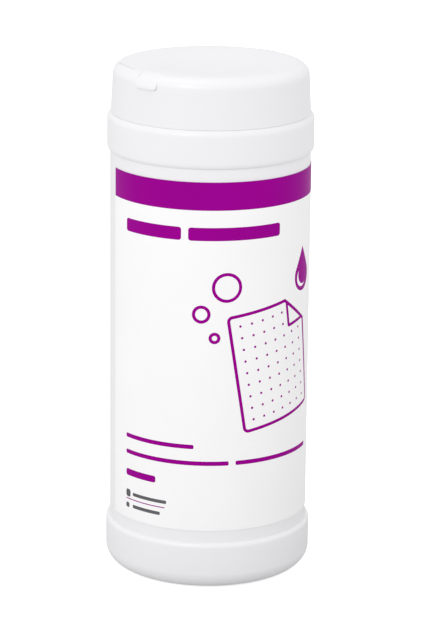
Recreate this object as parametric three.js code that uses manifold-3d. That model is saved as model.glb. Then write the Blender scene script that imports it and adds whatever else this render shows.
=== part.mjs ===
// A tub of wet wipes: a blow-moulded canister with a wrap-round label, a push-on lid,
// a flip-up cover on the lid, and the roll of wipes that stands inside.
// Millimetres, +Z up. The origin is on the table, on the axis of the tub, and -Y is the front.
import * as THREE from "three";
import { mergeVertices } from "three/addons/utils/BufferGeometryUtils.js";
import Module from "manifold-3d";

const wasm = await Module();
wasm.setup();

const facets = 64; // round every turned form, so that the label lies flat on the panel's facets

// Canister, one hollow moulding
const panelRadius = 42.5;
const panelHeight = 161.9; // between the foot bead and the shoulder bead
const canisterWall = 1.3;
const footProud = 1.7; // how far the foot bead stands out from the panel
const footHeight = 21.2;
const footCornerWidth = 8.7;
const footCornerHeight = 7.8;
const standingWidth = 2.2; // flat ring that the tub stands on
const pushUp = 4.5; // hollow under the base
const pushUpSlope = 6;
const pushUpDome = 0.3; // its middle, above its edge
const beadProud = 1.3; // shoulder bead, proud of the panel
const beadHeight = 16.1;
const beadRound = 2.6;
const beadTopWidth = 2.2; // full round from the bead's side to the ledge
const beadTopHeight = 3;
const edgeRound = 1.1; // small round on top of the foot bead
const neckInset = 2.7; // neck's outside, in from the panel
const neckHeight = 11.2;
const neckWall = 1.4;
const neckBeadProud = 0.45; // snap bead that holds the lid
const neckBeadLevel = 5.4; // above the ledge
const neckBeadHalf = 1.1;
const neckBeadFlat = 0.44; // half the flat on the snap bead

// Lid, snapped on the neck
const ledgeGap = 0.3; // lid above the canister's ledge
const lidHeight = 20.8;
const lidInset = 0.3; // foot of the skirt, in from the panel
const lidDraft = 0.8; // radius lost up the skirt
const lidWall = 1.3;
const shoulderWidth = 5.9; // elliptical shoulder between skirt and crown
const shoulderHeight = 4.9;
const skirtBeadLevel = 2.4; // snap bead inside the skirt, above its foot
const skirtBeadHalf = 1.0;
const snapClearance = 0.2; // between the two snap beads
const seatDepth = 2.8; // cover's seat, below the crown
const seatWidth = 2.5;
const deckDepth = 12; // dispensing deck, below the crown
const deckWall = 1.4;
const wellChamfer = 1; // where the well's wall meets the deck
const nozzleRise = 2.6; // raised ring round the outlet
const nozzleFoot = 13;
const nozzleTop = 10.5;
const nozzleWall = 1;
const outletRadius = 4.5;
const slitCount = 8; // cuts that let the plastic grip a wipe
const slitLength = 3.6;
const slitWidth = 0.9;

// Flip-up cover, in the lid's crown
const seamGap = 0.4; // between the cover and the lid
const coverReach = 1.2; // cover's edge, out from the flat of the crown
const coverWall = 1.2;
const rimWidth = 3.7; // raised rim of the cover
const dishDepth = 2.4;
const dishSlope = 4.6; // width of the slope from the rim to the dish
const dishSag = 0.5; // middle of the dish, below its edge
const rimFall = 0.12; // inner edge of the rim, below the crown
const plugRingInset = 3.1; // ring that plugs the well, in from the cover's edge
const plugRingWall = 1.2;
const plugRingDepth = 6.8; // below the crown
const plugRingChamfer = 0.4;
const coverRest = 0.3; // cover above its seat
const hingeInset = 1.5; // hinge line, in from the cover's edge
const hingeGap = 0.35; // on each side of the hinge line
const hingeWidth = 17; // film of plastic that bends
const hingeFilm = 0.3;
const filmClearance = 0.3; // between the film and the cover
const landLap = 0.6; // how far the land behind the hinge runs into the lid
const tabWidth = 13;
const tabProud = 0.55;
const tabWall = 1.2;
const tabDrop = 6; // tab's lower edge, below the crown
const tabGap = 0.35;
const tabFlare = 0.15; // lower edge of the tab stands off
const tabTurn = -42; // degrees round from the front to the tab, which is on the left

// Label, one film wrapped round the panel
const labelFilm = 0.15;
const labelGap = 0.1; // film and adhesive stand just off the wall
const labelFoot = 5.5; // label's lower edge, above the foot bead
const labelHead = 5.4; // label's upper edge, below the shoulder bead
const labelStart = -68; // degrees round from the front
const labelSpan = 330;

// Roll of wipes
const rollClearance = 5.4; // between the roll and the canister's wall
const rollHeadroom = 9; // roll's top, below the ledge
const rollHole = 9;
const rollLift = 0.4; // above the canister's floor
const turnsShown = 11; // ridges on the end of the roll
const turnStep = 0.7;
const ridgeFoot = 0.05; // width of the step down between two ridges
const strandClearance = 1.1; // round the first wipe, drawn up in pleats through the outlet
const pleatDepth = 1.2;
const strandPleats = 5;
const strandRise = 3.2; // above the outlet

// Heights and radii that follow
const footRadius = panelRadius + footProud;
const beadRadius = panelRadius + beadProud;
const beadBottom = footHeight + panelHeight;
const ledge = beadBottom + beadHeight;
const neckRadius = panelRadius - neckInset;
const neckTop = ledge + neckHeight;
const mouthRadius = neckRadius - neckWall;
const lidBottom = ledge + ledgeGap;
const crown = lidBottom + lidHeight;
const lidFootRadius = panelRadius - lidInset;
const lidTopRadius = lidFootRadius - lidDraft;
const shoulderFoot = crown - shoulderHeight;
const crestRadius = lidTopRadius - shoulderWidth;
const coverRadius = crestRadius + coverReach;
const lidOpening = coverRadius + seamGap;
const wellRadius = lidOpening - seatWidth;
const seat = crown - seatDepth;
const deck = crown - deckDepth;
const hingeRadius = coverRadius - hingeInset;
const floorTop = pushUp + canisterWall;
const labelBottom = footHeight + labelFoot;
const labelTop = beadBottom - labelHead;
const labelInner = panelRadius + labelGap;
const rollRadius = panelRadius - canisterWall - rollClearance;
const rollTop = ledge - rollHeadroom;
const strandRadius = outletRadius - strandClearance;

const finishes = {
  canister: new THREE.MeshStandardMaterial({ color: 0xf1f0f3, roughness: 0.42, metalness: 0 }),
  lid: new THREE.MeshStandardMaterial({ color: 0xf0eff3, roughness: 0.3, metalness: 0 }),
  label: new THREE.MeshStandardMaterial({ color: 0xf6f5f6, roughness: 0.5, metalness: 0 }),
  wipes: new THREE.MeshStandardMaterial({ color: 0xf4f6f7, roughness: 0.95, metalness: 0 }),
};

// Turns a closed geometry into a solid, with its faces outwards.
function solid(geometry) {
  const bare = geometry.clone();
  bare.deleteAttribute("normal");
  bare.deleteAttribute("uv");
  const merged = mergeVertices(bare, 1e-4);
  const triVerts = new Uint32Array(merged.index.array);
  const vertProperties = new Float32Array(merged.attributes.position.array);
  const made = new wasm.Manifold(new wasm.Mesh({ numProp: 3, vertProperties, triVerts }));
  if (made.volume() > 0) return made;
  for (let i = 0; i < triVerts.length; i += 3) {
    [triVerts[i + 1], triVerts[i + 2]] = [triVerts[i + 2], triVerts[i + 1]];
  }
  return new wasm.Manifold(new wasm.Mesh({ numProp: 3, vertProperties, triVerts }));
}

function geometryOf(shape) {
  const mesh = shape.getMesh();
  const geometry = new THREE.BufferGeometry();
  geometry.setAttribute("position", new THREE.BufferAttribute(mesh.vertProperties, 3));
  geometry.setIndex(new THREE.BufferAttribute(mesh.triVerts, 1));
  const flat = geometry.toNonIndexed();
  flat.computeVertexNormals();
  return flat;
}

function piece(name, shape, finish) {
  const mesh = new THREE.Mesh(geometryOf(shape), finish);
  mesh.name = name;
  return mesh;
}

// Turns a profile of [radius, height] points round Z. It starts and ends on the axis, or closes on itself.
function turned(profile, closed = false) {
  const points = profile.map(([r, z]) => new THREE.Vector2(r, z));
  if (closed) points.push(points[0].clone());
  return solid(new THREE.LatheGeometry(points, facets).rotateX(Math.PI / 2));
}

// Points on an ellipse about [r, z], from one angle to another in degrees.
function arc(r, z, width, height, from, to, steps) {
  const points = [];
  for (let i = 0; i <= steps; i++) {
    const angle = THREE.MathUtils.degToRad(from + ((to - from) * i) / steps);
    points.push([r + width * Math.cos(angle), z + height * Math.sin(angle)]);
  }
  return points;
}

function block(x0, x1, y0, y1, z0, z1) {
  const box = new THREE.BoxGeometry(x1 - x0, y1 - y0, z1 - z0);
  return solid(box.translate((x0 + x1) / 2, (y0 + y1) / 2, (z0 + z1) / 2));
}

// Height of the lid's outside at a radius on its shoulder.
function shoulderAt(radius) {
  const along = Math.max(0, (radius - crestRadius) / shoulderWidth);
  return shoulderFoot + shoulderHeight * Math.sqrt(1 - along * along);
}

// The angle on the shoulder's ellipse where a radius lies, in degrees.
function shoulderAngle(radius) {
  return THREE.MathUtils.radToDeg(Math.acos((radius - crestRadius) / shoulderWidth));
}

function canister() {
  const standing = footRadius - footCornerWidth;
  const slopeFoot = standing - standingWidth;
  const slopeTop = slopeFoot - pushUpSlope;
  const innerFoot = footRadius - canisterWall;
  const innerPanel = panelRadius - canisterWall;
  const innerBead = beadRadius - canisterWall;
  const beadLevel = ledge + neckBeadLevel;
  const cornerWidth = innerFoot - standing;
  const cornerHeight = footCornerHeight - canisterWall;
  const innerCorner = arc(standing, footCornerHeight, cornerWidth, cornerHeight, 0, -90, 4);
  const beadTop = ledge - beadTopHeight;
  const outside = [
    [0, pushUp],
    [slopeTop, pushUp - pushUpDome],
    [slopeFoot - pushUpSlope / 3, pushUp / 2],
    [slopeFoot, 0],
    ...arc(standing, footCornerHeight, footCornerWidth, footCornerHeight, -90, 0, 6),
    ...arc(footRadius - edgeRound, footHeight - edgeRound, edgeRound, edgeRound, 0, 70, 3),
    [panelRadius, footHeight],
    [panelRadius, beadBottom],
    ...arc(beadRadius - beadProud, beadBottom + beadRound, beadProud, beadRound, -80, 0, 3),
    ...arc(beadRadius - beadTopWidth, beadTop, beadTopWidth, beadTopHeight, 0, 90, 5),
    [neckRadius, ledge],
    [neckRadius, beadLevel - neckBeadHalf],
    [neckRadius + neckBeadProud, beadLevel - neckBeadFlat],
    [neckRadius + neckBeadProud, beadLevel + neckBeadFlat],
    [neckRadius, beadLevel + neckBeadHalf],
    [neckRadius, neckTop],
  ];
  const inside = [
    [mouthRadius, neckTop],
    [mouthRadius, ledge - canisterWall],
    [innerBead, beadTop],
    [innerBead, beadBottom + beadRound],
    [innerPanel, beadBottom],
    [innerPanel, footHeight - canisterWall],
    [innerFoot, footHeight - canisterWall * 2],
    ...innerCorner,
    [slopeFoot + canisterWall / 2, canisterWall],
    [slopeTop + canisterWall / 2, floorTop - pushUpDome],
    [0, floorTop],
  ];
  return turned([...outside, ...inside]);
}

// Snap bead, skirt, shoulder, cover seat, well, deck and outlet ring of the lid.
function lidBody() {
  const innerFoot = lidFootRadius - lidWall;
  const innerTop = lidTopRadius - lidWall;
  const beadLevel = lidBottom + skirtBeadLevel;
  const skirtBead = neckRadius + neckBeadProud + snapClearance;
  const wellWall = wellRadius + deckWall;
  const ceiling = seat - deckWall;
  return turned(
    [
      [lidFootRadius, lidBottom],
      [lidTopRadius, shoulderFoot],
      ...arc(crestRadius, shoulderFoot, shoulderWidth, shoulderHeight, 12, shoulderAngle(lidOpening), 5),
      [lidOpening, seat],
      [wellRadius, seat],
      [wellRadius, deck + wellChamfer],
      [wellRadius - wellChamfer, deck],
      [nozzleFoot, deck],
      [nozzleTop, deck + nozzleRise],
      [outletRadius, deck + nozzleRise],
      [outletRadius, deck + nozzleRise - nozzleWall],
      [nozzleTop - nozzleWall, deck + nozzleRise - nozzleWall],
      [nozzleFoot - deckWall, deck - deckWall],
      [wellWall, deck - deckWall],
      [wellWall, ceiling],
      [crestRadius + (shoulderWidth - lidWall) * 0.6, ceiling],
      [innerTop, shoulderFoot - lidWall],
      [innerFoot, beadLevel + skirtBeadHalf],
      [skirtBead, beadLevel],
      [innerFoot, beadLevel - skirtBeadHalf],
      [innerFoot, lidBottom],
    ],
    true,
  );
}

// The tab's outer face, in or out by an offset, as a profile from the crown down to its lower edge.
function tabFace(offset, drop) {
  const width = shoulderWidth + offset;
  const height = shoulderHeight + offset * 0.5;
  return [
    [crestRadius, shoulderFoot + height],
    ...arc(crestRadius, shoulderFoot, width, height, 75, 0, 5),
    [crestRadius + width + tabFlare, crown - drop],
  ];
}

// Everything outside the tab's inner face, for a given width: the pocket that the tab lies in.
function tabPocket(inset, drop, halfWidth) {
  const face = tabFace(-inset, drop);
  const outer = footRadius + 2;
  const cut = turned([...face, [outer, crown - drop], [outer, crown + 2], [crestRadius, crown + 2]], true);
  return cut.intersect(block(-halfWidth, halfWidth, -outer - 1, -coverRadius * 0.5, 0, crown + 3));
}

function tab() {
  const outer = tabFace(tabProud, tabDrop);
  const inner = tabFace(tabProud - tabWall, tabDrop).reverse();
  const strip = turned([...outer, ...inner], true);
  return strip.intersect(
    block(-tabWidth / 2, tabWidth / 2, -footRadius - 1, -coverRadius * 0.5, 0, crown + 3),
  );
}

function slits() {
  let cut = null;
  for (let i = 0; i < slitCount; i++) {
    const slit = block(
      outletRadius - 1,
      outletRadius + slitLength,
      -slitWidth / 2,
      slitWidth / 2,
      deck,
      deck + nozzleRise + 1,
    ).rotate([0, 0, (360 * i) / slitCount]);
    cut = cut ? cut.add(slit) : slit;
  }
  return cut;
}

// The straight piece of the crown behind the hinge, and the film of plastic that bends.
function hingeLand() {
  const face = hingeRadius + hingeGap;
  const reach = lidOpening + landLap;
  const ring = turned(
    [
      [wellRadius, seat - landLap],
      [wellRadius, crown],
      [crestRadius, crown],
      ...arc(crestRadius, shoulderFoot, shoulderWidth, shoulderHeight, 86, shoulderAngle(reach), 3),
      [reach, seat - landLap],
    ],
    true,
  );
  const land = ring.intersect(block(-coverRadius, coverRadius, face, lidOpening + 2, 0, crown + 1));
  const film = block(
    -hingeWidth / 2,
    hingeWidth / 2,
    hingeRadius - hingeGap + filmClearance,
    face + landLap,
    crown - hingeFilm * 2,
    crown - hingeFilm,
  );
  return land.add(film);
}

function lid() {
  const backing = tabGap + lidWall;
  const lining = tabPocket(tabWall + backing, tabDrop + backing, tabWidth / 2 + backing);
  const envelope = turned([
    [0, seat - deckWall * 2],
    [lidTopRadius - 0.02, seat - deckWall * 5],
    [lidTopRadius - 0.02, shoulderFoot],
    ...arc(crestRadius, shoulderFoot, shoulderWidth, shoulderHeight, 12, shoulderAngle(lidOpening), 5),
    [lidOpening, seat],
    [0, seat],
  ]);
  const pocket = tabPocket(tabWall - tabProud + tabGap, tabDrop + tabGap, tabWidth / 2 + tabGap);
  return lidBody().add(lining.intersect(envelope)).add(hingeLand()).subtract(pocket).subtract(slits());
}

function flipCover() {
  const dishTop = crown - dishDepth;
  const rimInner = coverRadius - rimWidth;
  const dishEdge = rimInner - dishSlope;
  const ringOuter = coverRadius - plugRingInset;
  const ringInner = ringOuter - plugRingWall;
  const ringFoot = crown - plugRingDepth;
  const edgeFoot = seat + coverRest;
  const disc = turned([
    [0, dishTop - dishSag],
    [dishEdge * 0.6, dishTop - dishSag * 0.6],
    [dishEdge, dishTop],
    [dishEdge + dishSlope * 0.3, dishTop + dishDepth * 0.16],
    [dishEdge + dishSlope * 0.7, dishTop + dishDepth * 0.8],
    [rimInner, crown - rimFall],
    [crestRadius - 1, crown],
    ...arc(crestRadius, shoulderFoot, shoulderWidth, shoulderHeight, 90, shoulderAngle(coverRadius), 2),
    [coverRadius, edgeFoot],
    [coverRadius - coverWall, edgeFoot],
    [coverRadius - coverWall, crown - coverWall],
    [ringOuter, crown - coverWall],
    [ringOuter, ringFoot + plugRingChamfer],
    [ringOuter - plugRingChamfer, ringFoot],
    [ringInner, ringFoot],
    [ringInner, dishTop - coverWall + dishDepth * 0.3],
    [dishEdge, dishTop - coverWall],
    [0, dishTop - coverWall - dishSag * 0.8],
  ]);
  const beyondHinge = block(
    -coverRadius,
    coverRadius,
    hingeRadius - hingeGap,
    coverRadius + 1,
    0,
    crown + 1,
  );
  return disc.add(tab()).subtract(beyondHinge);
}

// A wedge round Z from one angle to another, in degrees round from the front, for cutting rings.
function wedge(from, span, bottom, top) {
  const reach = footRadius * 1.5;
  const shape = new THREE.Shape();
  shape.moveTo(0, 0);
  const steps = Math.ceil(span / 15);
  for (let i = 0; i <= steps; i++) {
    const angle = THREE.MathUtils.degToRad(from + (span * i) / steps - 90);
    shape.lineTo(reach * Math.cos(angle), reach * Math.sin(angle));
  }
  const prism = new THREE.ExtrudeGeometry(shape, { depth: top - bottom, bevelEnabled: false });
  return solid(prism.translate(0, 0, bottom));
}

// One film, with its two ends apart at the side.
function label() {
  const outer = labelInner + labelFilm;
  const ring = turned(
    [[labelInner, labelBottom], [outer, labelBottom], [outer, labelTop], [labelInner, labelTop]],
    true,
  );
  return ring.subtract(wedge(labelStart - (360 - labelSpan), 360 - labelSpan, 0, crown));
}

// A pleated section for the strand of wipe that is drawn through the outlet.
function pleats() {
  const shape = new THREE.Shape();
  const points = strandPleats * 4;
  for (let i = 0; i < points; i++) {
    const angle = (Math.PI * 2 * i) / points;
    const radius = strandRadius - pleatDepth * (0.5 + 0.5 * Math.cos(strandPleats * angle));
    const point = [radius * Math.cos(angle), radius * Math.sin(angle)];
    if (i === 0) shape.moveTo(...point);
    else shape.lineTo(...point);
  }
  shape.closePath();
  return shape;
}

// The first wipe leaves the roll's inner turn, rises to the axis and stands up through the outlet.
function strand() {
  const path = new THREE.CatmullRomCurve3([
    new THREE.Vector3(0, -rollHole - strandRadius, rollTop - rollHole * 1.6),
    new THREE.Vector3(0, -rollHole * 0.8, rollTop - rollHole * 0.5),
    new THREE.Vector3(0, -rollHole * 0.25, (rollTop + deck) / 2 - 2),
    new THREE.Vector3(0, 0, deck - 3),
    new THREE.Vector3(0, 0, deck + nozzleRise + strandRise),
  ]);
  return solid(new THREE.ExtrudeGeometry(pleats(), { steps: 20, bevelEnabled: false, extrudePath: path }));
}

// The roll's end shows its turns as fine ridges.
function wipesRoll() {
  const bottom = floorTop + rollLift;
  const pitch = (rollRadius - rollHole) / turnsShown;
  const ridges = [];
  for (let i = turnsShown; i > 0; i--) {
    ridges.push([rollHole + pitch * i - ridgeFoot, rollTop - turnStep]);
    ridges.push([rollHole + pitch * (i - 0.5), rollTop]);
  }
  const profile = [[rollHole, bottom], [rollRadius, bottom], ...ridges, [rollHole, rollTop - turnStep]];
  return turned(profile, true).add(strand());
}

const tub = new THREE.Group();
tub.add(piece("canister", canister(), finishes.canister));
tub.add(piece("label", label(), finishes.label));
tub.add(piece("wipes_roll", wipesRoll(), finishes.wipes));

const closure = new THREE.Group();
closure.rotation.z = THREE.MathUtils.degToRad(tabTurn);
closure.add(piece("lid", lid(), finishes.lid));
closure.add(piece("flip_cover", flipCover(), finishes.lid));
tub.add(closure);

export default tub;
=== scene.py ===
import bpy, bmesh, math
from mathutils import Matrix, Vector


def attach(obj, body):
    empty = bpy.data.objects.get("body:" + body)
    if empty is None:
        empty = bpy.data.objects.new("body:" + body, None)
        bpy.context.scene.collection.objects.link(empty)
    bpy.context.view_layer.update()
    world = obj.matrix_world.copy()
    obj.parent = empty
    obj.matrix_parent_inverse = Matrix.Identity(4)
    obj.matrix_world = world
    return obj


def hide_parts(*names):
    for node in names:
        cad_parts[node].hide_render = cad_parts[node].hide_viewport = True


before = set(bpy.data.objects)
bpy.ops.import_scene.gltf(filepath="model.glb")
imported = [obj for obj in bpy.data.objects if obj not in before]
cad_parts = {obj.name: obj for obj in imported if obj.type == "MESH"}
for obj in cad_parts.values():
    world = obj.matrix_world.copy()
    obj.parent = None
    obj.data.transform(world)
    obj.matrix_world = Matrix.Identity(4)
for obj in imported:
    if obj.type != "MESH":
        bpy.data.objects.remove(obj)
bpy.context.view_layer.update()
mm = 0.001

# camera, at the photo's viewing angle
cameraView = {
    "place": (0.0013, -1.2436, 0.4524),
    "pitchDown": 15.5,  # degrees
    "lean": 0.55,
    "lens": 169,
    "sensor": 36,
    "farthest": 40,
}

def placeCamera(view):
    data = bpy.data.cameras.new("camera")
    data.sensor_width = view["sensor"]
    data.lens = view["lens"]
    data.clip_end = view["farthest"]
    camera = bpy.data.objects.new("camera", data)
    tilt = Matrix.Rotation(math.radians(90 - view["pitchDown"]), 4, "X")
    lean = Matrix.Rotation(math.radians(view["lean"]), 4, "Z")
    camera.matrix_world = Matrix.Translation(view["place"]) @ tilt @ lean
    bpy.context.scene.collection.objects.link(camera)
    bpy.context.scene.camera = camera

placeCamera(cameraView)
print("camera placed")


# shaping helpers
farOut = 50  # mm from the axis, past every piece
overTop = 2  # mm that a cutter reaches over the lid

def arc(r, z, width, height, start, end, steps):  # points on an ellipse, angles in degrees
    points = []
    for i in range(steps + 1):
        angle = math.radians(start + (end - start) * i / steps)
        points.append((r + width * math.cos(angle), z + height * math.sin(angle)))
    return points

def ease(r0, z0, r1, z1, steps):  # an S-shaped run between two levels
    points = []
    for i in range(steps + 1):
        share = i / steps
        rise = (1 - math.cos(math.pi * share)) / 2
        points.append((r0 + (r1 - r0) * share, z0 + (z1 - z0) * rise))
    return points

def spun(name, profile, steps=192, turn=360, start=0):  # profile of (radius, height) in mm
    bm = bmesh.new()
    verts = [bm.verts.new((0, -r * mm, z * mm)) for r, z in profile]
    edges = [bm.edges.new(pair) for pair in zip(verts, verts[1:] + verts[:1])]
    bmesh.ops.rotate(bm, verts=verts, matrix=Matrix.Rotation(math.radians(start), 3, "Z"))
    whole = turn == 360
    section = verts + edges
    if not whole:  # the section's face closes the ends
        bmesh.ops.contextual_create(bm, geom=edges)
        section = bm.verts[:] + bm.edges[:] + bm.faces[:]
    bmesh.ops.spin(bm, geom=section, cent=(0, 0, 0), axis=(0, 0, 1), angle=math.radians(turn),
                   steps=steps, use_merge=whole)
    bmesh.ops.remove_doubles(bm, verts=bm.verts[:], dist=1e-6)
    bmesh.ops.dissolve_degenerate(bm, edges=bm.edges[:], dist=1e-7)
    loose = [edge for edge in bm.edges if not edge.link_faces]  # where a profile runs on the axis
    bmesh.ops.delete(bm, geom=loose, context="EDGES")
    bmesh.ops.recalc_face_normals(bm, faces=bm.faces[:])
    return objectOf(name, bm)

def setInOrder(bm):  # by place, so that joins and cuts come out the same in each run
    def rank(items, key):
        order = {item: i for i, item in enumerate(sorted(items, key=key))}
        items.sort(key=lambda item: order[item])
        items.index_update()
    rank(bm.verts, lambda vert: vert.co[:])
    for items in (bm.edges, bm.faces):
        rank(items, lambda item: sorted(vert.index for vert in item.verts))

def objectOf(name, bm):
    setInOrder(bm)
    mesh = bpy.data.meshes.new(name)
    bm.to_mesh(mesh)
    bm.free()
    piece = bpy.data.objects.new(name, mesh)
    bpy.context.scene.collection.objects.link(piece)
    return piece

def block(name, low, high):  # corners in mm
    bm = bmesh.new()
    bmesh.ops.create_cube(bm, size=1)
    size = Vector(high) - Vector(low)
    middle = (Vector(high) + Vector(low)) / 2
    bmesh.ops.scale(bm, vec=size * mm, verts=bm.verts[:])
    bmesh.ops.translate(bm, vec=middle * mm, verts=bm.verts[:])
    return objectOf(name, bm)

def behind(y):  # all of the lid's top past y, to cut along a straight line
    return block("slice", (-40, y, 150), (40, farOut, 230))

def turnPiece(piece, degrees):
    piece.data.transform(Matrix.Rotation(math.radians(degrees), 4, "Z"))

def combine(piece, tool, operation):
    modifier = piece.modifiers.new("combine", "BOOLEAN")
    modifier.operation = operation
    modifier.solver = "EXACT"
    modifier.object = tool
    settle(piece)
    bpy.data.objects.remove(tool)
    joinClosePoints(piece)

def joinClosePoints(piece, gap=3e-6):  # cuts leave edges of no length and faces of many sides
    bm = bmesh.new()
    bm.from_mesh(piece.data)
    setInOrder(bm)
    bmesh.ops.remove_doubles(bm, verts=bm.verts[:], dist=gap)
    bmesh.ops.dissolve_degenerate(bm, edges=bm.edges[:], dist=gap)
    bmesh.ops.triangulate(bm, faces=[face for face in bm.faces if len(face.verts) > 4])
    bm.to_mesh(piece.data)
    bm.free()

def settle(piece):  # bakes the modifiers into the mesh
    depsgraph = bpy.context.evaluated_depsgraph_get()
    mesh = bpy.data.meshes.new_from_object(piece.evaluated_get(depsgraph))
    piece.modifiers.clear()
    piece.data = mesh

def softenEdges(piece, width, segments=2, angle=35):
    modifier = piece.modifiers.new("edges", "BEVEL")
    modifier.width = width * mm
    modifier.segments = segments
    modifier.limit_method = "ANGLE"
    modifier.angle_limit = math.radians(angle)
    settle(piece)

def finishPiece(piece, body, node, material, sharp=32):
    piece.data.materials.clear()
    piece.data.materials.append(material)
    piece.data.shade_smooth()
    piece.data.set_sharp_from_angle(angle=math.radians(sharp))
    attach(piece, body)
    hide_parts(node)


# material helpers

class Net:  # adds and links the nodes of one material or node group
    def __init__(self, tree):
        self.tree = tree

    def node(self, kind, **settings):
        made = self.tree.nodes.new(kind)
        for key, value in settings.items():
            setattr(made, key, value)
        return made

    def feed(self, value, socket):
        if isinstance(value, bpy.types.NodeSocket):
            self.tree.links.new(value, socket)
        else:
            socket.default_value = value

    def place(self):
        return self.node("ShaderNodeTexCoord").outputs["Object"]

    def parts(self, place):
        made = self.node("ShaderNodeSeparateXYZ")
        self.feed(place, made.inputs[0])
        return made.outputs

    def math(self, operation, *values, clamp=False):
        made = self.node("ShaderNodeMath", operation=operation, use_clamp=clamp)
        for value, socket in zip(values, made.inputs):
            self.feed(value, socket)
        return made.outputs[0]

    def squares(self, first, second):  # the sum of two squares
        return self.math("ADD", self.math("MULTIPLY", first, first),
                         self.math("MULTIPLY", second, second))

    def mix(self, factor, first, second):  # the colour sockets are 6 and 7 in, and 2 out
        made = self.node("ShaderNodeMix", data_type="RGBA")
        self.feed(factor, made.inputs["Factor"])
        self.feed(first, made.inputs[6])
        self.feed(second, made.inputs[7])
        return made.outputs[2]

    def span(self, value, low, high, newLow, newHigh):
        made = self.node("ShaderNodeMapRange")
        for given, socket in zip((value, low, high, newLow, newHigh), made.inputs):
            self.feed(given, socket)
        return made.outputs[0]

    def noise(self, place, scale, detail=2):
        made = self.node("ShaderNodeTexNoise")
        self.feed(place, made.inputs["Vector"])
        made.inputs["Scale"].default_value = scale
        made.inputs["Detail"].default_value = detail
        return made.outputs["Fac"]

    def bump(self, height, relief, strength):  # relief in metres
        made = self.node("ShaderNodeBump")
        made.inputs["Strength"].default_value = strength
        made.inputs["Distance"].default_value = relief
        self.feed(height, made.inputs["Height"])
        return made.outputs["Normal"]

def newMaterial(name, roughness, specular=0.5):
    material = bpy.data.materials.new(name)
    material.use_nodes = True
    shader = material.node_tree.nodes["Principled BSDF"]
    shader.inputs["Roughness"].default_value = roughness
    shader.inputs["Specular IOR Level"].default_value = specular
    return material, shader, Net(material.node_tree)

def toned(tone, share=1):  # a tone, dimmed to a share, as a colour socket takes it
    return (*(value * share for value in tone), 1)

def group(name, inputs, outputs):  # an empty node group with its sockets
    tree = bpy.data.node_groups.new(name, "ShaderNodeTree")
    for label, kind in inputs.items():
        tree.interface.new_socket(name=label, in_out="INPUT", socket_type=kind)
    for label, kind in outputs.items():
        tree.interface.new_socket(name=label, in_out="OUTPUT", socket_type=kind)
    net = Net(tree)
    return tree, net, net.node("NodeGroupInput"), net.node("NodeGroupOutput")

skinLook = {
    "broadScale": 28,
    "fineScale": 900,
    "darkest": 0.985,
    "glossSpread": 0.05,
    "broadHeight": 0.6,
}

def buildMouldedSkin(c):  # the faint unevenness of moulded plastic
    tree, net, given, result = group(
        "mouldedSkin",
        {"Place": "NodeSocketVector", "Tone": "NodeSocketColor", "Gloss": "NodeSocketFloat",
         "Grain": "NodeSocketFloat"},
        {"Colour": "NodeSocketColor", "Roughness": "NodeSocketFloat", "Height": "NodeSocketFloat"},
    )
    broad = net.noise(given.outputs["Place"], c["broadScale"])
    fine = net.noise(given.outputs["Place"], c["fineScale"])
    scale = net.node("ShaderNodeVectorMath", operation="SCALE")
    net.feed(given.outputs["Tone"], scale.inputs[0])
    net.feed(net.span(broad, 0.15, 0.85, c["darkest"], 1.0), scale.inputs["Scale"])
    net.feed(scale.outputs[0], result.inputs["Colour"])
    spread = net.math("MULTIPLY_ADD", broad, c["glossSpread"], given.outputs["Gloss"])
    net.feed(net.math("SUBTRACT", spread, c["glossSpread"] / 2), result.inputs["Roughness"])
    grain = net.math("MULTIPLY", fine, given.outputs["Grain"])
    net.feed(net.math("MULTIPLY_ADD", broad, c["broadHeight"], grain), result.inputs["Height"])
    return tree

mouldedSkin = buildMouldedSkin(skinLook)

def moulded(net, place, c):
    skin = net.node("ShaderNodeGroup")
    skin.node_tree = mouldedSkin
    net.feed(place, skin.inputs["Place"])
    skin.inputs["Tone"].default_value = toned(c["tone"])
    skin.inputs["Gloss"].default_value = c["gloss"]
    skin.inputs["Grain"].default_value = c["grain"]
    return skin.outputs

def wearSkin(net, shader, skin, height, bump):
    net.feed(skin["Colour"], shader.inputs["Base Color"])
    net.feed(skin["Roughness"], shader.inputs["Roughness"])
    net.feed(net.bump(height, *bump), shader.inputs["Normal"])

print("helpers ready")


# canister, blow-moulded in one piece
canisterShape = {
    "panelRadius": 42.5,
    "panelFoot": 21.2,
    "panelTop": 183.1,
    "wall": 1.3,
    "footRadius": 44.2,
    "cornerWidth": 8.7,
    "cornerHeight": 7.8,
    "standingWidth": 2.2,
    "pushUp": 4.5,
    "pushUpSlope": 6.5,
    "beadRadius": 43.8,
    "beadRound": 2.4,
    "crease": 0.12,  # under the bead
    "footTop": 2.0,  # height of the round on top of the foot bead
    "beadTop": (2.2, 3.0),  # width and height of the round up to the ledge
    "ledge": 199.3,
    "neckRadius": 39.8,
    "neckWall": 1.4,
    "neckTop": 210.4,
    "neckBead": (204.6, 0.45, 1.1),  # level, how proud, half its height
    "chamfer": 0.3,
    "tone": (0.845, 0.842, 0.858),
    "gloss": 0.33,
    "grain": 0.35,
    "bump": (0.00012, 0.35),  # relief and strength
    "partingLine": (0.00025, 0.5),  # half its width in metres, and its height
}

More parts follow.
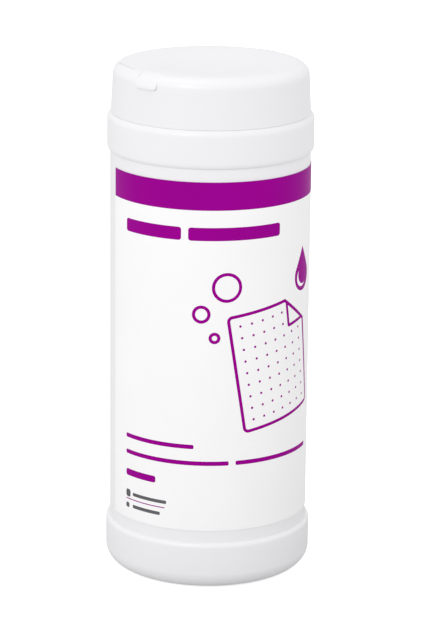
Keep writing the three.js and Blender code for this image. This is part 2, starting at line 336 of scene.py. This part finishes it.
def canisterProfile(c):
    wide, tall = c["cornerWidth"], c["cornerHeight"]
    corner = c["footRadius"] - wide
    ring = corner - c["standingWidth"]
    slope = ring - c["pushUpSlope"]
    neck, wall, cut = c["neckRadius"], c["wall"], c["chamfer"]
    panel, panelFoot, panelTop = c["panelRadius"], c["panelFoot"], c["panelTop"]
    ledge, neckTop, bend = c["ledge"], c["neckTop"], c["beadRound"]
    outside = [(0, c["pushUp"]), (slope - 8, c["pushUp"] * 0.99)]
    outside += ease(slope, c["pushUp"] * 0.97, ring - 0.5, 0.12, 10)
    outside += [(ring + 0.2, 0), (corner - 0.4, 0)]
    outside += arc(corner, tall, wide, tall, -88, 0, 22)
    step, top = c["footRadius"] - panel, c["footTop"]
    outside += arc(panel, panelFoot - top, step, top, 0, 84, 12)
    outside += [(panel, panelFoot + 3), (panel, panelTop - 3)]
    outside += [(panel, panelTop - 0.6), (panel - c["crease"], panelTop - 0.1)]
    outside += arc(panel, panelTop + bend, c["beadRadius"] - panel, bend, -84, 0, 12)
    width, height = c["beadTop"]
    outside += arc(c["beadRadius"] - width, ledge - height, width, height, 0, 90, 14)
    level, proud, half = c["neckBead"]
    outside += [(neck + cut, ledge), (neck, ledge + cut), (neck, level - half)]
    outside += arc(neck, level, proud, half, -90, 90, 8)
    outside += [(neck, level + half), (neck, neckTop - cut), (neck - cut, neckTop)]
    neckIn, beadIn, panelIn = neck - c["neckWall"], c["beadRadius"] - wall, panel - wall
    inside = [(neckIn + cut, neckTop), (neckIn, neckTop - cut), (neckIn, ledge - wall)]
    inside += [(beadIn, ledge - height), (beadIn, panelTop + bend)]
    inside += [(panelIn, panelTop), (panelIn, panelFoot - wall)]
    inside += [(c["footRadius"] - wall, panelFoot - wall * 2.4)]
    inside += arc(corner, tall, wide - wall, tall - wall, 0, -90, 12)
    inside += ease(ring - 0.2, wall, slope + 0.4, c["pushUp"] + wall - 0.15, 8)
    inside += [(0, c["pushUp"] + wall)]
    return outside + inside

def canisterPlastic(c):
    material, shader, net = newMaterial("canisterPlastic", c["gloss"])
    place = net.place()
    skin = moulded(net, place, c)
    # the mould's parting line runs up both sides
    half, height = c["partingLine"]
    line = net.span(net.math("ABSOLUTE", net.parts(place)["Y"]), 0.0, half, height, 0.0)
    wearSkin(net, shader, skin, net.math("ADD", skin["Height"], line), c["bump"])
    return material

def buildCanister(c):
    shell = spun("canisterShell", canisterProfile(c))
    finishPiece(shell, "tub", "canister", canisterPlastic(c), 38)

buildCanister(canisterShape)
print("canister built")


# label, one printed film round the panel
labelShape = {
    "inner": 42.6,
    "film": 0.15,
    "foot": 26.7,
    "head": 177.7,
    "start": -68,  # degrees round from the front
    "span": 330,
    "white": (0.935, 0.93, 0.935),
    "ink": (0.32, 0.0, 0.27),
    "grey": (0.12, 0.12, 0.13),
    "gloss": 0.34,
    "glossSpread": 0.06,
    "specular": 0.03,
    "paperDim": 0.985,  # of the mottle's darker spots
    "inkDim": 0.93,
    "mottleScale": 40,
    "creaseScale": 22,
    "creaseBump": (0.0003, 0.25),
    "barRound": (0.32, 1.2),  # a share of a bar's height, and the most in mm
    "bandHeight": 11.85,
}
# bars stand where a pack of this kind has words: degrees from, degrees to, level, height
inkBars = [
    (-54, -16, 155.8, 5.6),
    (-12, 43, 155.8, 5.6),
    (-54, -8, 63.8, 1.9),
    (-54, 12, 56.6, 1.9),
    (16, 74, 56.6, 1.9),
    (-54, -31, 47.4, 3.0),
    (-54, -25, 35.5, 0.45),
]
greyBars = [
    (-54, -50, 38.0, 3.4),
    (-48, -24, 38.0, 1.5),
    (-54, -51, 32.6, 2.2),
    (-48, -28, 32.6, 1.5),
]
# bubbles: place round the wall and level, radius, all mm
bubbles = [(7.5, 133.0, 6.4), (-3.2, 121.6, 3.9), (2.4, 111.4, 2.5)]
sheetMark = {
    "middle": (32.0, 98.0),
    "half": (21.0, 26.0),
    "corner": 2.5,
    "fold": 13.0,
    "foldCorner": 1.2,
    "line": 1.4,
    "turn": 9,
    "dotPitch": 5.2,
    "dot": 0.55,
    "margin": 3.4,
    "foldMargin": 1.6,
}
dropMark = {
    "middle": (49.1, 132.5),
    "radius": 6.6,
    "tip": 12.8,
    "gleam": (-0.6, 0.62),  # how far off the middle, and its share of the radius
    "bite": (0.7, 0.66),
}

def flatPlace(net, radius):  # distance round the wall from the front, and height, in mm
    parts = net.parts(net.place())
    angle = net.math("ARCTAN2", parts["X"], net.math("MULTIPLY", parts["Y"], -1.0))
    return net.math("MULTIPLY", angle, radius), net.math("MULTIPLY", parts["Z"], 1000.0)

def buildRoundedBox():  # signed distance to a rounded box, in mm
    names = ("Around", "Up", "Middle", "Level", "Half", "Tall", "Round")
    sockets = dict.fromkeys(names, "NodeSocketFloat")
    tree, net, given, result = group("roundedBox", sockets, {"Distance": "NodeSocketFloat"})
    get = given.outputs
    sides = []
    for along, middle, half in (("Around", "Middle", "Half"), ("Up", "Level", "Tall")):
        away = net.math("ABSOLUTE", net.math("SUBTRACT", get[along], get[middle]))
        sides.append(net.math("ADD", net.math("SUBTRACT", away, get[half]), get["Round"]))
    squares = net.squares(*[net.math("MAXIMUM", side, 0.0) for side in sides])
    inner = net.math("MINIMUM", net.math("MAXIMUM", sides[0], sides[1]), 0.0)
    distance = net.math("ADD", net.math("SQRT", squares), inner)
    net.feed(net.math("SUBTRACT", distance, get["Round"]), result.inputs["Distance"])
    return tree

roundedBox = buildRoundedBox()

def boxDistance(net, around, up, middle, half, corner):
    made = net.node("ShaderNodeGroup")
    made.node_tree = roundedBox
    values = (around, up, middle[0], middle[1], half[0], half[1], corner)
    for value, socket in zip(values, made.inputs):
        net.feed(value, socket)
    return made.outputs["Distance"]

def inked(net, distance):  # 1 inside a figure, 0 outside
    return net.math("LESS_THAN", distance, 0.0)

def outline(net, distance, width):  # 1 on a line that runs just inside a figure
    middle = net.math("ADD", distance, width / 2)
    return net.math("LESS_THAN", net.math("ABSOLUTE", middle), width / 2)

def joined(net, masks):
    total = masks[0]
    for mask in masks[1:]:
        total = net.math("MAXIMUM", total, mask)
    return total

def barMask(net, around, up, bars):
    perDegree = math.radians(1) * labelShape["inner"]
    share, most = labelShape["barRound"]
    masks = []
    for start, end, level, tall in bars:
        middle = ((start + end) / 2 * perDegree, level)
        half = ((end - start) / 2 * perDegree, tall / 2)
        corner = min(tall * share, most)
        masks.append(inked(net, boxDistance(net, around, up, middle, half, corner)))
    return joined(net, masks)

def offCentre(net, around, up, middle):
    return net.math("SUBTRACT", around, middle[0]), net.math("SUBTRACT", up, middle[1])

def leaning(net, first, second, angle):  # distance along a line that leans from first to second
    share = net.math("MULTIPLY", second, math.sin(angle))
    return net.math("ADD", net.math("MULTIPLY", first, math.cos(angle)), share)

def circleDistance(net, around, up, middle, radius):
    squares = net.squares(*offCentre(net, around, up, middle))
    return net.math("SUBTRACT", net.math("SQRT", squares), radius)

def dropMask(net, around, up, drop):  # a round foot under a tapering tip, with a small gleam
    middle, radius = drop["middle"], drop["radius"]
    body = circleDistance(net, around, up, middle, radius)
    aside, above = offCentre(net, around, up, middle)
    lean = math.asin(radius / drop["tip"])
    cone = net.math("SUBTRACT", leaning(net, net.math("ABSOLUTE", aside), above, lean), radius)
    cone = net.math("MAXIMUM", cone, net.math("SUBTRACT", radius * math.sin(lean), above))
    whole = inked(net, net.math("MINIMUM", body, cone))
    circles = []
    for off, share in (drop["gleam"], drop["bite"]):
        place = (middle[0] + off, middle[1] + off)
        circles.append(circleDistance(net, around, up, place, radius * share))
    gleam, bite = circles
    light = net.math("MULTIPLY", inked(net, gleam), net.math("GREATER_THAN", bite, 0.0))
    return net.math("SUBTRACT", whole, light, clamp=True)

def sheetMask(net, around, up, sheet):  # a wipe with its upper corner folded, and rows of dots
    half, fold, line, pitch = sheet["half"], sheet["fold"], sheet["line"], sheet["dotPitch"]
    lean = math.radians(sheet["turn"])
    aside, above = offCentre(net, around, up, sheet["middle"])
    across = leaning(net, aside, above, lean)
    along = leaning(net, above, aside, -lean)
    square = boxDistance(net, across, along, (0, 0), half, sheet["corner"])
    past = net.math("SUBTRACT", net.math("ADD", across, along), half[0] + half[1] - fold)
    cut = net.math("MULTIPLY", past, math.sqrt(0.5))
    body = net.math("MAXIMUM", square, cut)
    edge = outline(net, body, line)
    # the folded corner lies inside the cut
    flapMiddle = (half[0] - fold / 2, half[1] - fold / 2)
    flap = boxDistance(net, across, along, flapMiddle, (fold / 2, fold / 2), sheet["foldCorner"])
    flapEdge = net.math("MULTIPLY", outline(net, flap, line), inked(net, cut))
    offs = []
    for axis in (across, along):
        share = net.math("FRACT", net.math("ADD", net.math("DIVIDE", axis, pitch), 20.5))
        offs.append(net.math("MULTIPLY", net.math("SUBTRACT", share, 0.5), pitch))
    spot = net.math("LESS_THAN", net.squares(*offs), sheet["dot"] ** 2)
    field = net.math("LESS_THAN", body, -sheet["margin"])
    clear = net.math("GREATER_THAN", flap, sheet["foldMargin"])
    pattern = net.math("MULTIPLY", net.math("MULTIPLY", spot, field), clear)
    return joined(net, [edge, flapEdge, pattern])

def labelFilm(c):
    material, shader, net = newMaterial("labelFilm", c["gloss"], c["specular"])
    around, up = flatPlace(net, c["inner"])
    purple = [barMask(net, around, up, inkBars), dropMask(net, around, up, dropMark)]
    purple.append(sheetMask(net, around, up, sheetMark))
    for across, level, radius in bubbles:
        ring = circleDistance(net, around, up, (across, level), radius)
        purple.append(outline(net, ring, sheetMark["line"]))
    purple.append(net.math("GREATER_THAN", up, c["head"] - c["bandHeight"]))
    grey = barMask(net, around, up, greyBars)
    place = net.place()
    mottle = net.span(net.noise(place, c["mottleScale"]), 0.3, 0.7, 0.0, 1.0)
    paper = net.mix(mottle, toned(c["white"], c["paperDim"]), toned(c["white"]))
    ink = net.mix(mottle, toned(c["ink"], c["inkDim"]), toned(c["ink"]))
    colour = net.mix(joined(net, purple), paper, ink)
    net.feed(net.mix(grey, colour, toned(c["grey"])), shader.inputs["Base Color"])
    low = c["gloss"] - c["glossSpread"] / 2
    gloss = net.math("MULTIPLY_ADD", net.noise(place, 60), c["glossSpread"], low)
    net.feed(gloss, shader.inputs["Roughness"])
    # the film keeps faint creases from being wrapped
    creases = net.bump(net.noise(place, c["creaseScale"]), *c["creaseBump"])
    net.feed(creases, shader.inputs["Normal"])
    return material

def buildLabel(c):
    inner, foot, head = c["inner"], c["foot"], c["head"]
    outer = inner + c["film"]
    section = [(inner, foot), (outer, foot), (outer, head), (inner, head)]
    film = spun("labelWrap", section, 176, c["span"], c["start"])
    finishPiece(film, "tub", "label", labelFilm(c), 38)

buildLabel(labelShape)
print("label built")


# lid, snapped on the neck
lidShape = {
    "foot": 199.35,
    "footRound": 0.08,
    "crown": 220.3,
    "footRadius": 42.25,
    "topRadius": 41.4,
    "wall": 1.3,
    "shoulderWidth": 5.9,
    "shoulderHeight": 4.9,
    "snapBead": (2.4, 40.45, 1.0),  # above the foot, radius, half its height
    "opening": 36.73,
    "lip": (0.02, 0.15),  # how far the opening's edge is cut back, across and down
    "seatDepth": 2.8,
    "wellRadius": 34.6,
    "wellRound": 1.2,
    "deckDepth": 12,
    "deckWall": 1.4,
    "nozzleFoot": 13,
    "nozzleTop": 10.5,
    "nozzleRise": 2.6,
    "nozzleWall": 1,
    "outlet": 4.5,
    "slits": (8, 3.6, 0.9),  # how many, length, width
    "chamfer": 0.3,
    "turn": -42,
    "seamDepth": 0.6,
    "tone": (0.835, 0.832, 0.852),
    "gloss": 0.31,
    "grain": 0.18,
    "bump": (0.00008, 0.3),
}
# left of the tab the seam stands open, then turns out over the shoulder:
# degrees round, radius, width
openSeam = [
    (-58, 37.3, 0.12),
    (-64, 37.3, 0.2),
    (-69.2, 37.25, 0.28),
    (-75, 37.5, 0.36),
    (-79.9, 37.92, 0.44),
    (-84, 38.4, 0.5),
    (-86.6, 38.9, 0.5),
    (-87.7, 39.5, 0.5),
    (-88.2, 40.2, 0.45),
    (-88.4, 41.0, 0.35),
]
coverShape = {
    "radius": 36.7,
    "wall": 1.2,
    "dish": 2.6,  # its depth
    "dishFoot": 9.0,  # where the dish starts to rise
    "brink": 34.6,  # and where it reaches the top
    "foot": 217.8,
    "ring": (33.6, 1.2, 213.5),  # outer radius, wall, lower edge
    "tabWidth": 11.3,
    "tabCorner": 1.1,
    "tabEdge": 0.1,
    "tabTurn": 1.6,  # from the lid's front, degrees
    "tabProud": 0.42,
    "tabFlat": 0.3,
    "tabFlare": 0.26,
    "tabWall": 1.2,
    "tabDrop": 6,
    "tabGap": 0.03,
    "tabFootGap": 0.1,
    "hinge": 35.2,
    "hingeGap": 0.35,
    "hingeWidth": 17,
    "hingeFilm": (0.6, 0.3),  # its faces' depths under the crown
}

def shoulderMiddle(c):  # the radius and level that the shoulder bends round
    return c["topRadius"] - c["shoulderWidth"], c["crown"] - c["shoulderHeight"]

def shoulderAngle(c, radius):
    crest = shoulderMiddle(c)[0]
    return math.degrees(math.acos((radius - crest) / c["shoulderWidth"]))

def shoulderArc(c, start, end, steps, offset=0.0):
    width, height = c["shoulderWidth"] + offset, c["shoulderHeight"] + offset * 0.5
    return arc(*shoulderMiddle(c), width, height, start, end, steps)

def lidProfile(c):
    crest, base = shoulderMiddle(c)
    footOut, foot, trim, cut = c["footRadius"], c["foot"], c["footRound"], c["chamfer"]
    footIn, topIn = footOut - c["wall"], c["topRadius"] - c["wall"]
    above, bead, half = c["snapBead"]
    across, down = c["lip"]
    well, bend, thick = c["wellRadius"], c["wellRound"], c["deckWall"]
    seat, deck = c["crown"] - c["seatDepth"], c["crown"] - c["deckDepth"]
    wellOut, ceiling, floor = well + thick, seat - thick, deck - thick
    nozzle, nozzleTop, outlet = c["nozzleFoot"], c["nozzleTop"], c["outlet"]
    tip = deck + c["nozzleRise"]
    tipIn = tip - c["nozzleWall"]
    points = [(footOut - trim, foot - trim), (footOut, foot), (c["topRadius"] + 0.05, base - 0.6)]
    points += shoulderArc(c, 4, shoulderAngle(c, c["opening"] + across), 18)
    points += [(c["opening"], c["crown"] - down), (c["opening"], seat)]
    points += [(well + cut, seat), (well, seat - cut)]
    points += arc(well - bend, deck + bend, bend, bend, 0, -90, 6)
    points += [(nozzle + 0.6, deck), (nozzle - 0.2, deck + cut), (nozzleTop + cut, tip - cut)]
    points += [(nozzleTop - cut, tip), (outlet + cut, tip), (outlet, tip - cut)]
    points += [(outlet, tipIn), (nozzleTop - 1, tipIn), (nozzle - 1.4, floor)]
    points += [(wellOut - 0.8, floor), (wellOut, floor + 0.8), (wellOut, ceiling)]
    points += [(crest + 2.8, ceiling), (topIn, base - c["wall"]), (footIn, foot + above + half)]
    points += arc(footIn, foot + above, footIn - bead, half, 90, 270, 8)[1:]
    points += [(footIn, foot)]
    return points

def tabFace(lid, cover, offset, drop, steps=20):  # flatter than the shoulder, with a flared foot
    curve = shoulderArc(lid, 90, 0, steps, offset)
    first, last = Vector(curve[0]), Vector(curve[-1])
    points = []
    for i, point in enumerate(curve):
        share = i / steps
        flat = Vector(point).lerp(first.lerp(last, share), cover["tabFlat"])
        points.append((flat.x + cover["tabFlare"] * share ** 2, flat.y))
    points.append((last.x + cover["tabFlare"] * 1.2, lid["crown"] - drop))
    return points

def tabOutline(lid, cover, half, drop, corner):  # the tab's front view as a solid, to cut with
    top, foot = lid["crown"] + overTop, lid["crown"] - drop
    points = [(half, top), (-half, top)]
    points += arc(-half + corner, foot + corner, corner, corner, 180, 270, 6)
    points += arc(half - corner, foot + corner, corner, corner, 270, 360, 6)
    bm = bmesh.new()
    face = bm.faces.new([bm.verts.new((x * mm, -farOut * mm, z * mm)) for x, z in points])
    moved = bmesh.ops.extrude_face_region(bm, geom=[face])["geom"]
    verts = [part for part in moved if isinstance(part, bmesh.types.BMVert)]
    bmesh.ops.translate(bm, vec=(0, (farOut - cover["radius"] * 0.5) * mm, 0), verts=verts)
    bmesh.ops.recalc_face_normals(bm, faces=bm.faces[:])
    return objectOf("slice", bm)

def tabPocket(lid, cover):  # the room that the lid leaves for the tab
    half, drop = cover["tabWidth"] / 2 + cover["tabGap"], cover["tabDrop"] + cover["tabFootGap"]
    face = tabFace(lid, cover, -(cover["tabWall"] - cover["tabProud"] + cover["tabGap"]), drop)
    top, foot = lid["crown"] + overTop, lid["crown"] - drop
    pocket = spun("pocket", face + [(47, foot), (47, top), (face[0][0], top)])
    corner = cover["tabCorner"] + half - cover["tabWidth"] / 2
    combine(pocket, tabOutline(lid, cover, half, drop, corner), "INTERSECT")
    turnPiece(pocket, cover["tabTurn"])
    return pocket

def slitCuts(c, extra=1):  # each reaches further in and up, so that it cuts right through
    count, length, width = c["slits"]
    deck, tall = c["crown"] - c["deckDepth"], c["nozzleRise"]
    middle = (c["outlet"] + (length - extra) / 2, 0, deck + tall / 2 + extra / 2)
    bm = bmesh.new()
    for i in range(count):
        made = bmesh.ops.create_cube(bm, size=1)["verts"]
        bmesh.ops.scale(bm, vec=Vector((length + extra, width, tall + extra)) * mm, verts=made)
        bmesh.ops.translate(bm, vec=Vector(middle) * mm, verts=made)
        turn = Matrix.Rotation(math.radians(360 * i / count), 3, "Z")
        bmesh.ops.rotate(bm, verts=made, matrix=turn)
    return objectOf("slits", bm)

def hingeLand(lid, cover, overlap=0.5):  # the straight land behind the hinge, and its film
    face = cover["hinge"] + cover["hingeGap"]
    reach = lid["opening"] + 0.6
    crown, half = lid["crown"], cover["hingeWidth"] / 2
    seat = crown - lid["seatDepth"] - overlap
    profile = [(lid["wellRadius"], seat), (lid["wellRadius"], crown)]
    profile += shoulderArc(lid, 90, shoulderAngle(lid, reach), 8) + [(reach, seat)]
    land = spun("land", profile)
    combine(land, behind(face), "INTERSECT")
    low, high = cover["hingeFilm"]
    corners = (-half, cover["hinge"] - 0.05, crown - low), (half, face + overlap, crown - high)
    combine(land, block("film", *corners), "UNION")
    return land

def seamCut(c, route, reach=3):  # a narrow wall that follows the open seam, to cut a shallow groove
    crest, base = shoulderMiddle(c)
    path = []
    for azimuth, radius, _ in route:
        angle = math.radians(azimuth - c["turn"])
        path.append(Vector((radius * math.sin(angle), -radius * math.cos(angle))))
    bm = bmesh.new()
    stations = []
    for i, (_, radius, width) in enumerate(route):
        along = min(max(radius - crest, 0) / c["shoulderWidth"], 1)
        low = base + c["shoulderHeight"] * math.sqrt(1 - along * along) - c["seamDepth"]
        way = (path[min(i + 1, len(path) - 1)] - path[max(i - 1, 0)]).normalized()
        aside = Vector((-way.y, way.x)) * width / 2
        left, right, high = path[i] - aside, path[i] + aside, low + reach
        corners = [(left, low), (right, low), (right, high), (left, high)]
        stations.append([bm.verts.new((spot.x * mm, spot.y * mm, z * mm)) for spot, z in corners])
    for first, second in zip(stations, stations[1:]):
        for i in range(4):
            bm.faces.new((first[i - 1], first[i], second[i], second[i - 1]))
    bm.faces.new(stations[0])
    bm.faces.new(stations[-1])
    bmesh.ops.recalc_face_normals(bm, faces=bm.faces[:])
    return objectOf("seamCut", bm)

def lidPlastic(name, c):
    material, shader, net = newMaterial(name, c["gloss"])
    skin = moulded(net, net.place(), c)
    wearSkin(net, shader, skin, skin["Height"], c["bump"])
    return material

def buildLid(lid, cover):
    shell = spun("lidShell", lidProfile(lid))
    combine(shell, hingeLand(lid, cover), "UNION")
    for cutter in (tabPocket(lid, cover), slitCuts(lid), seamCut(lid, openSeam)):
        combine(shell, cutter, "DIFFERENCE")
    turnPiece(shell, lid["turn"])
    finishPiece(shell, "lid", "lid", lidPlastic("lidPlastic", lid))

buildLid(lidShape, coverShape)
print("lid built")


# flip cover with its thumb tab
def coverProfile(lid, c):
    crown, radius, wall, flat = lid["crown"], c["radius"], c["wall"], c["dishFoot"]
    dish = crown - c["dish"]
    below, under = dish - wall, crown - wall
    across, down = lid["lip"]
    cut = lid["chamfer"]
    outer, ringWall, foot = c["ring"]
    inner = outer - ringWall
    points = [(0, dish - 0.1)]
    points += ease(flat, dish, c["brink"], crown, 24)
    points += shoulderArc(lid, 90, shoulderAngle(lid, radius - across), 3)
    points += [(radius, crown - down), (radius, c["foot"]), (radius - wall, c["foot"])]
    points += [(radius - wall, under), (outer, under), (outer, foot + 0.5), (outer - 0.4, foot)]
    points += [(inner + cut, foot), (inner, foot + cut), (inner, under - 0.4)]
    points += [(flat + 9, below + 0.2), (flat - 2, below), (0, below - 0.1)]
    return points

def buildTab(lid, c):
    drop, proud = c["tabDrop"], c["tabProud"]
    back = tabFace(lid, c, proud - c["tabWall"], drop)
    tab = spun("tab", tabFace(lid, c, proud, drop) + back[::-1])
    combine(tab, tabOutline(lid, c, c["tabWidth"] / 2, drop, c["tabCorner"]), "INTERSECT")
    softenEdges(tab, c["tabEdge"])
    turnPiece(tab, c["tabTurn"])
    return tab

def buildCover(lid, c):
    disc = spun("coverDisc", coverProfile(lid, c))
    combine(disc, buildTab(lid, c), "UNION")
    combine(disc, behind(c["hinge"] - c["hingeGap"]), "DIFFERENCE")
    turnPiece(disc, lid["turn"])
    finishPiece(disc, "cover", "flip_cover", lidPlastic("coverPlastic", lid))

buildCover(lidShape, coverShape)
print("flip cover built")


# roll of wipes, with the first wipe drawn up through the outlet
rollShape = {
    "radius": 35.8,
    "hole": 9,
    "foot": 6.2,
    "top": 190.2,
    "turns": 44,
    "groove": 0.45,
    "uneven": 0.25,  # how far a turn stands up or down
    "strand": 3.4,
    "pleat": 1.2,
    "pleats": 5,
    # across, and over the roll's top
    "strandRoute": [(-10, -12), (-7.2, -4), (-2.7, 6), (-0.4, 13), (0, 17)],
    "strandTop": 214.1,
    "tone": (0.84, 0.86, 0.87),
    "dampDim": 0.93,
    "bump": (0.0003, 0.6),
}

def nonwoven(c):
    material, shader, net = newMaterial("nonwoven", 0.85, 0.3)
    place = net.place()
    stretch = net.node("ShaderNodeMapping")
    stretch.inputs["Scale"].default_value = (1, 1, 0.25)
    net.feed(place, stretch.inputs["Vector"])
    fibres = net.noise(stretch.outputs[0], 2600, 4)
    dots = net.node("ShaderNodeTexVoronoi")
    net.feed(place, dots.inputs["Vector"])
    dots.inputs["Scale"].default_value = 600
    damp = net.span(net.noise(place, 90, 3), 0.35, 0.65, 0.0, 1.0)
    colour = net.mix(damp, toned(c["tone"]), toned(c["tone"], c["dampDim"]))
    net.feed(colour, shader.inputs["Base Color"])
    net.feed(net.span(damp, 0, 1, 0.9, 0.62), shader.inputs["Roughness"])
    height = net.math("MULTIPLY_ADD", dots.outputs["Distance"], 0.8, fibres)
    net.feed(net.bump(height, *c["bump"]), shader.inputs["Normal"])
    return material

def strandSection(c, bm, share, steps=40):
    made = []
    for i in range(steps):
        angle = math.tau * i / steps
        fold = 0.5 + 0.5 * math.cos(c["pleats"] * angle + share * 3)
        radius = (c["strand"] - c["pleat"] * fold) * (1 - 0.1 * share)
        made.append(bm.verts.new((radius * math.cos(angle) * mm, radius * math.sin(angle) * mm, 0)))
    return made

def buildStrand(c, steps=48):  # rings of a pleated section along the wipe's way up
    route = [(y, c["top"] + rise) for y, rise in c["strandRoute"]] + [(0, c["strandTop"])]
    points = [Vector((0, y, z)) * mm for y, z in route]
    last = len(points) - 1
    bm = bmesh.new()
    rings = []
    for i in range(steps + 1):
        share = i / steps * last
        index = min(int(share), last - 1)
        before, later = points[max(index - 1, 0)], points[min(index + 2, last)]
        here, after = points[index], points[index + 1]
        t = share - index
        bend = 2 * before - 5 * here + 4 * after - later
        twist = 3 * here - before - 3 * after + later
        spot = 0.5 * (2 * here + (after - before) * t + bend * t * t + twist * t ** 3)
        way = (after - before) * (1 - t) + (later - here) * t
        verts = strandSection(c, bm, i / steps)
        turn = Vector((0, 0, 1)).rotation_difference(way.normalized()).to_matrix()
        bmesh.ops.rotate(bm, verts=verts, matrix=turn)
        bmesh.ops.translate(bm, vec=spot, verts=verts)
        rings.append([bm.edges.new(pair) for pair in zip(verts, verts[1:] + verts[:1])])
    for first, second in zip(rings, rings[1:]):
        bmesh.ops.bridge_loops(bm, edges=first + second)
    bmesh.ops.holes_fill(bm, edges=rings[0] + rings[-1], sides=0)
    bmesh.ops.recalc_face_normals(bm, faces=bm.faces[:])
    return objectOf("strand", bm)

def buildRoll(c):
    hole, radius, foot = c["hole"], c["radius"], c["foot"]
    pitch = (radius - hole) / c["turns"]
    level = c["top"] - c["uneven"]
    profile = [(hole, foot), (radius - 0.4, foot), (radius, foot + 0.4)]
    for i in range(c["turns"], 0, -1):
        edge = hole + pitch * i
        high = level + c["uneven"] * math.sin(i * 2.4)
        profile.append((edge - pitch * 0.08, level - c["groove"]))
        profile += [(edge - pitch * 0.3, high), (edge - pitch * 0.75, high)]
    profile.append((hole, level - c["groove"]))
    roll = spun("wipesRoll", profile, 128)
    combine(roll, buildStrand(c), "UNION")
    finishPiece(roll, "tub", "wipes_roll", nonwoven(c), 40)

buildRoll(rollShape)
print("roll built")


# floor and light
studio = {
    "floor": (0.95, 0.95, 0.95),
    "glow": 0.5,  # how bright the floor is of itself
    "sky": (1.05, 1.16),  # brightness on the left and on the right
    "rear": 0.8,  # share of it that is left behind the object
    "above": 0.86,  # over it
    # the sheet under the floor: painted shade from near (at the spot by the foot's right) to far,
    # and its own glow
    "bounce": {"spot": (0.07, -0.03), "reach": 0.22, "near": 0.24, "far": 0.52, "glow": 0.27},
    "key": {"place": (-0.75, -1.25, 1.05), "aim": (0, 0, 0.12), "size": 0.6, "power": 4.2},
    "top": {"place": (-0.3, 0.1, 1.3), "aim": (0, 0, 0.12), "size": 0.7, "power": 1.2},
}

def groundSheet(name, paint, glow, level=0.0):  # a wide sheet that glows, its level in metres
    bm = bmesh.new()
    bmesh.ops.create_grid(bm, x_segments=2, y_segments=2, size=8)
    bmesh.ops.translate(bm, vec=(0, 0, level), verts=bm.verts[:])
    sheet = objectOf(name, bm)
    material, shader, net = newMaterial(paint, 0.9, 0.1)
    shader.inputs["Emission Color"].default_value = (1, 1, 1, 1)
    shader.inputs["Emission Strength"].default_value = glow
    sheet.data.materials.append(material)
    return sheet, shader.inputs["Base Color"], net

def buildFloor(c):
    floor, base, net = groundSheet("floor", "floorPaint", c["glow"])
    tone = net.span(net.noise(net.place(), 3), 0.3, 0.7, 0.99, 1.0)
    net.feed(net.mix(tone, (0, 0, 0, 1), toned(c["floor"])), base)
    floor.visible_diffuse = False
    floor.visible_glossy = False
    floor.visible_shadow = False

def buildBounce(c):  # under the floor, a sheet with painted shade, darkest near the foot's right, and a glow of its own: it throws light up, less of it at the foot's right
    bounce, base, net = groundSheet("bounce", "shadeAndGlowCard", c["glow"], -0.0005)
    away = net.node("ShaderNodeVectorMath", operation="DISTANCE")
    net.feed(net.place(), away.inputs[0])
    away.inputs[1].default_value = (*c["spot"], 0)
    # painted shade: the sheet is darker near the spot by the foot's right, so less light reaches
    # the foot there
    tone = net.span(away.outputs["Value"], 0.0, c["reach"], c["near"], c["far"])
    net.feed(net.mix(tone, (0, 0, 0, 1), (1, 1, 1, 1)), base)

def addLight(name, c):
    data = bpy.data.lights.new(name, "AREA")
    data.shape = "SQUARE"
    data.size = c["size"]
    data.energy = c["power"]
    light = bpy.data.objects.new(name, data)
    place = Vector(c["place"])
    turn = (Vector(c["aim"]) - place).to_track_quat("-Z", "Y").to_matrix().to_4x4()
    light.matrix_world = Matrix.Translation(place) @ turn
    bpy.context.scene.collection.objects.link(light)

def lightStudio(c):
    world = bpy.data.worlds.new("sky")
    world.use_nodes = True
    net = Net(world.node_tree)
    parts = net.parts(net.node("ShaderNodeTexCoord").outputs["Generated"])
    background = world.node_tree.nodes["Background"]
    background.inputs["Color"].default_value = (1, 1, 1, 1)
    strength = net.span(parts["X"], -1.0, 1.0, *c["sky"])
    behindShare = net.span(parts["Y"], -0.2, 0.9, 1.0, c["rear"])
    overShare = net.span(parts["Z"], 0.1, 0.9, 1.0, c["above"])
    for share in (behindShare, overShare):
        strength = net.math("MULTIPLY", strength, share)
    net.feed(strength, background.inputs["Strength"])
    bpy.context.scene.world = world
    addLight("keyLight", c["key"])
    addLight("topLight", c["top"])
    bpy.context.scene.view_settings.view_transform = "Standard"

buildFloor(studio)
buildBounce(studio["bounce"])
lightStudio(studio)
print("studio lit")
